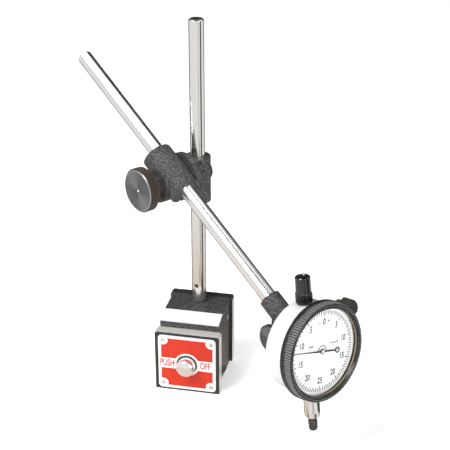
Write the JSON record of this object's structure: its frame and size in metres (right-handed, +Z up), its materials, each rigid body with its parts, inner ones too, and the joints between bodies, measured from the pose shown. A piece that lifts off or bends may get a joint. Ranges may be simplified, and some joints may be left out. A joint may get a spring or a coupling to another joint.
{
  "type": "dial indicator on magnetic base",
  "caption": "Dial indicator carried by an arm rod and swivel clamp on an upright post that stands on a push-button magnetic base.",
  "frame": {"origin": "on the post's axis, in the plane of the base's underside", "axes": "+Z up along the post, +X to the right of the label, +Y from the label to the rear pole"},
  "size_m": [0.2044, 0.1655, 0.244],
  "materials": {
    "crackle_black": "black crackle enamel on cast iron",
    "ground_steel": "surface-ground steel",
    "screw_black": "black oxide",
    "label_red": "printed red and white plate",
    "pin_chrome": "bright",
    "chrome": "polished chrome",
    "magnet_alloy": "cast magnet alloy",
    "soft_iron": "machined",
    "rod_steel": "polished ground rod",
    "bolt_steel": "machined",
    "knob_black": "black oxide, turned face",
    "case_white": "satin white enamel",
    "cover_screw": "slotted screw",
    "stem_steel": "polished",
    "brass": "brushed brass",
    "cap_black": "gloss black",
    "spring_steel": "spring wire",
    "bezel_black": "satin black with a fine knurl",
    "crystal_clear": "clear crystal",
    "dial_white": "matt white dial",
    "tip_dark": "hardened dark tip",
    "hand_black": "black hand",
    "hairspring_blue": "blued"
  },
  "bodies": {
    "base": {"base_body": "crackle_black", "front_pole": "ground_steel", "rear_pole": "ground_steel", "front_pole_screws": "screw_black", "rear_pole_screws": "screw_black", "label_plate": "label_red", "label_pins": "pin_chrome"},
    "button_stack": {"push_rod": "soft_iron", "magnet": "magnet_alloy", "magnet_cheeks": "soft_iron", "front_button": "chrome", "rear_button": "chrome"},
    "post": {"post": "rod_steel"},
    "snug": {"post_clamp": "crackle_black", "draw_bolt": "bolt_steel", "swivel_washer": "bolt_steel"},
    "arm_clamp": {"rod_clamp": "crackle_black", "knob_washer": "bolt_steel"},
    "clamp_knob": {"clamp_knob": "knob_black"},
    "arm": {"arm_rod": "rod_steel"},
    "fork": {"rod_fork": "crackle_black", "fork_bolt": "bolt_steel", "fork_set_screw": "screw_black"},
    "fork_knob": {"fork_knob": "knob_black"},
    "gauge": {"gauge_case": "case_white", "back_cover": "case_white", "back_screws": "cover_screw", "stem": "stem_steel", "top_bushing": "brass", "dust_cap": "cap_black", "movement_plate": "brass", "movement_bridge": "brass", "movement_pillars": "brass", "return_spring": "spring_steel", "bezel_clamp": "knob_black"},
    "bezel_clamp_screw": {"bezel_clamp_screw": "knob_black"},
    "bezel": {"bezel": "bezel_black", "crystal": "crystal_clear", "dial_face": "dial_white"},
    "spindle": {"spindle": "stem_steel", "contact_point": "tip_dark"},
    "rack_arbor": {"rack_pinion": "spring_steel", "drive_gear": "brass"},
    "hand": {"centre_pinion": "spring_steel", "dial_hand": "hand_black"},
    "takeup": {"takeup_gear": "brass", "hairspring": "hairspring_blue"}
  },
  "joints": [
    {"name": "magnet_slide", "type": "slide", "parent": "base", "child": "button_stack", "axis": [0, 1, 0], "range_m": [0, 0.008]},
    {"name": "post_turn", "type": "hinge", "parent": "base", "child": "post", "pos_m": [0, 0, 0.05], "axis": [0, 0, 1], "range_deg": [-140, 60]},
    {"name": "snug_slide", "type": "slide", "parent": "post", "child": "snug", "axis": [0, 0, 1], "range_m": [-0.015, 0.085]},
    {"name": "arm_swivel", "type": "hinge", "parent": "snug", "child": "arm_clamp", "pos_m": [-0.00806, -0.0107, 0.1438], "axis": [0.6018, 0.7986, 0], "range_deg": [-80, 8]},
    {"name": "clamp_knob_turn", "type": "hinge", "parent": "snug", "child": "clamp_knob", "pos_m": [-0.02407, -0.03195, 0.1438], "axis": [-0.6018, -0.7986, 0], "continuous": true},
    {"name": "arm_slide", "type": "slide", "parent": "arm_clamp", "child": "arm", "axis": [0.6888, -0.5191, -0.506], "range_m": [-0.06, 0.02]},
    {"name": "fork_turn", "type": "hinge", "parent": "arm", "child": "fork", "pos_m": [0.06363, -0.0775, 0.09648], "axis": [0.6888, -0.5191, -0.506], "range_deg": [-90, 90]},
    {"name": "gauge_tilt", "type": "hinge", "parent": "fork", "child": "gauge", "pos_m": [0.07134, -0.08331, 0.08043], "axis": [0.6018, 0.7986, 0], "range_deg": [-10, 60]},
    {"name": "fork_knob_turn", "type": "hinge", "parent": "fork", "child": "fork_knob", "pos_m": [0.06532, -0.09129, 0.08043], "axis": [-0.6018, -0.7986, 0], "continuous": true},
    {"name": "bezel_screw_turn", "type": "hinge", "parent": "gauge", "child": "bezel_clamp_screw", "pos_m": [0.10352, -0.07094, 0.09449], "axis": [0.7912, -0.5962, 0.1357], "continuous": true},
    {"name": "bezel_turn", "type": "hinge", "parent": "gauge", "child": "bezel", "pos_m": [0.09693, -0.10259, 0.0823], "axis": [0.7912, -0.5962, 0.1357], "continuous": true},
    {"name": "spindle_slide", "type": "slide", "parent": "gauge", "child": "spindle", "axis": [-0.1084, 0.0817, 0.9907], "range_m": [0, 0.00317], "stiffness_N_per_m": 300, "springref_m": -0.003},
    {"name": "rack_arbor_turn", "type": "hinge", "parent": "gauge", "child": "rack_arbor", "pos_m": [0.08606, -0.09837, 0.06842], "axis": [0.7912, -0.5962, 0.1357], "range_deg": [-1, 113.5]},
    {"name": "hand_turn", "type": "hinge", "parent": "gauge", "child": "hand", "pos_m": [0.09297, -0.09961, 0.08162], "axis": [0.7912, -0.5962, 0.1357], "range_deg": [-908, 8]},
    {"name": "takeup_turn", "type": "hinge", "parent": "gauge", "child": "takeup", "pos_m": [0.09118, -0.09429, 0.09333], "axis": [0.7912, -0.5962, 0.1357], "range_deg": [-1, 113.5]}
  ],
  "couplings": [
    {"joint": "rack_arbor_turn", "follows": "spindle_slide", "rad_per_m": 618.42},
    {"joint": "hand_turn", "follows": "spindle_slide", "rad_per_m": -4947.4},
    {"joint": "takeup_turn", "follows": "spindle_slide", "rad_per_m": 618.42}
  ]
}
